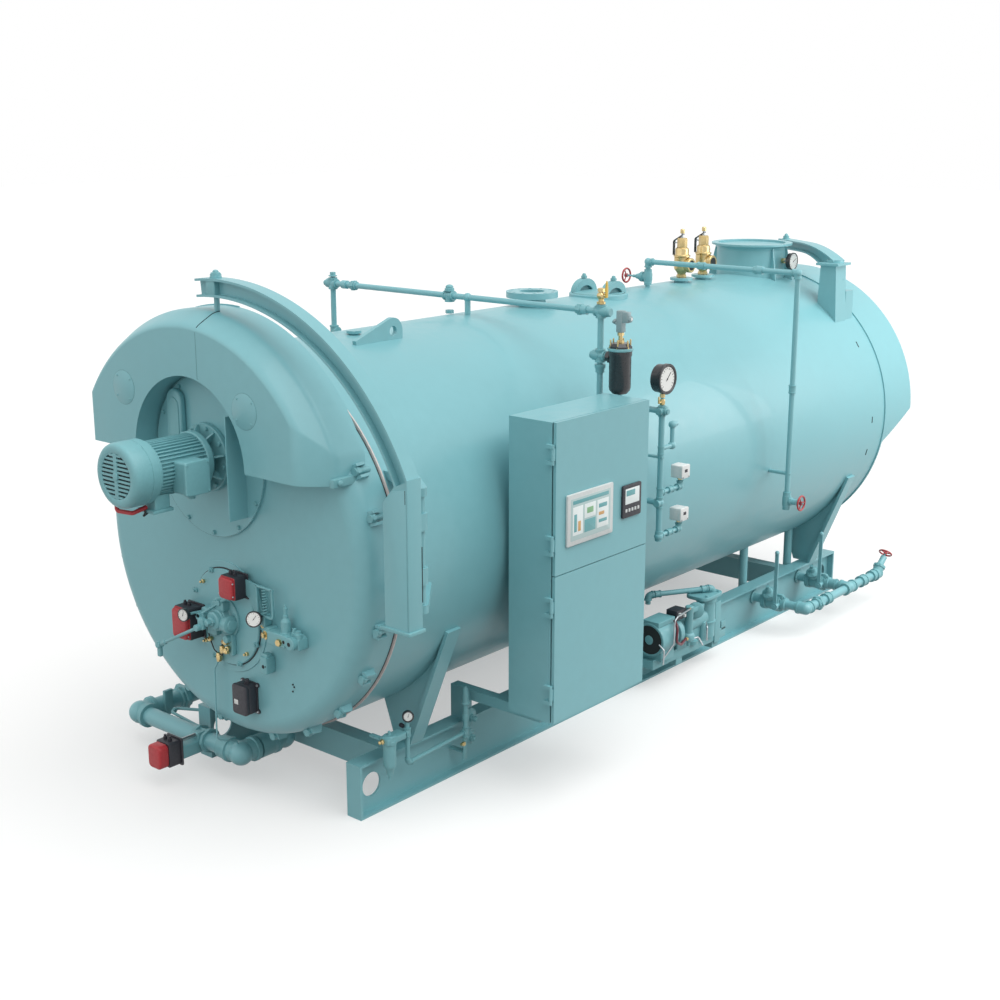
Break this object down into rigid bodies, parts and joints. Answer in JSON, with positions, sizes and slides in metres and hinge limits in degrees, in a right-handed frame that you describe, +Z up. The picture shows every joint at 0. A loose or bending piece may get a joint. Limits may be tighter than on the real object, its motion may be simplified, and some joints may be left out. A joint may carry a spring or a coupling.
{
  "type": "packaged fire-tube industrial boiler",
  "caption": "Horizontal fire-tube steam boiler on a steel skid: swing-out burner head with fan motor on a davit, control cabinet, water columns, safety valves, stack collar and blowdown piping.",
  "frame": {"origin": "on the ground under the middle of the whole plan", "axes": "+Y from the burner end to the rear along the shell, +X to the control cabinet side, +Z up"},
  "size_m": [2.502, 6.297, 2.7937],
  "materials": {
    "teal_paint": "satin teal-green enamel over steel plate",
    "fire_brick": "matt cast refractory lining",
    "tube_steel": "dull oxidised tube-sheet steel",
    "brass": "cast and machined brass",
    "red_plastic": "moulded red actuator cover",
    "black_plastic": "moulded black housing",
    "black_enamel": "black enamel",
    "red_enamel": "red enamel on cast handwheel",
    "white_plastic": "white moulded switch box",
    "panel_bezel": "screen bezel and controller face"
  },
  "bodies": {
    "boiler": {"skid_rail_right": "teal_paint", "skid_rail_left": "teal_paint", "skid_cross_beams": "teal_paint", "saddles": "teal_paint", "boiler_shell": "teal_paint", "front_tube_sheet": "tube_steel", "rear_tube_sheet": "tube_steel", "furnace_tube": "tube_steel", "davit_bracket": "teal_paint", "rear_head": "teal_paint", "rear_davit_post": "teal_paint", "rear_davit_arm": "teal_paint", "stack": "teal_paint", "top_nozzles": "teal_paint", "manway": "teal_paint", "lifting_lug": "teal_paint", "safety_valves": "brass", "stack_thermometer": "black_enamel", "steam_header": "teal_paint", "water_column_right": "teal_paint", "water_column_left": "teal_paint", "level_control_right": "black_enamel", "column_cock": "brass", "gauge_manifold": "teal_paint", "pressure_gauge": "black_enamel", "limit_switches": "white_plastic", "cabinet_body": "teal_paint", "cabinet_brackets": "teal_paint", "surface_blow_line": "teal_paint", "blowdown_valves": "teal_paint", "blowdown_pipe": "teal_paint", "compressor_set": "teal_paint", "compressor_motor": "teal_paint", "gas_pipe": "teal_paint", "gas_actuator": "red_plastic", "air_filter_line": "teal_paint"},
    "front_door": {"front_head": "teal_paint", "head_refractory": "fire_brick", "fan_housing": "teal_paint", "fan_inlet_plate": "teal_paint", "fan_motor": "teal_paint", "burner": "teal_paint", "burner_actuators": "red_plastic", "burner_gas_block": "teal_paint", "junction_box": "black_plastic", "front_davit": "teal_paint"},
    "upper_panel": {"cabinet_upper_door": "teal_paint", "operator_panel": "panel_bezel"},
    "lower_panel": {"cabinet_lower_door": "teal_paint"},
    "top_wheel": {"top_valve_wheel": "red_enamel"},
    "drop_wheel": {"drop_valve_wheel": "red_enamel"},
    "blow_wheel": {"blowdown_wheel": "red_enamel"},
    "front_lever": {"blowdown_lever_front": "teal_paint"},
    "rear_lever": {"blowdown_lever_rear": "teal_paint"}
  },
  "joints": [
    {"name": "front_head_swing", "type": "hinge", "parent": "boiler", "child": "front_door", "pos_m": [1.124, -2.4365, 1.6], "axis": [0, 0, 1], "range_deg": [0, 110]},
    {"name": "upper_door_hinge", "type": "hinge", "parent": "boiler", "child": "upper_panel", "pos_m": [1.228, -1.5965, 1.68], "axis": [0, 0, -1], "range_deg": [0, 110]},
    {"name": "lower_door_hinge", "type": "hinge", "parent": "boiler", "child": "lower_panel", "pos_m": [1.228, -1.5965, 0.886], "axis": [0, 0, -1], "range_deg": [0, 110]},
    {"name": "top_wheel_turn", "type": "hinge", "parent": "boiler", "child": "top_wheel", "pos_m": [-0.275, 1.1085, 2.472], "axis": [-1, 0, 0], "continuous": true},
    {"name": "drop_wheel_turn", "type": "hinge", "parent": "boiler", "child": "drop_wheel", "pos_m": [1.137, 1.1085, 1.11], "axis": [1, 0, 0], "continuous": true},
    {"name": "blow_wheel_turn", "type": "hinge", "parent": "boiler", "child": "blow_wheel", "pos_m": [0.922, 2.8525, 0.335], "axis": [0, 0.6428, 0.766], "continuous": true},
    {"name": "front_lever_swing", "type": "hinge", "parent": "boiler", "child": "front_lever", "pos_m": [0.732, 1.5565, 0.205], "axis": [0, 1, 0], "range_deg": [0, 70]},
    {"name": "rear_lever_swing", "type": "hinge", "parent": "boiler", "child": "rear_lever", "pos_m": [0.732, 2.1855, 0.205], "axis": [0, 1, 0], "range_deg": [0, 70]}
  ]
}
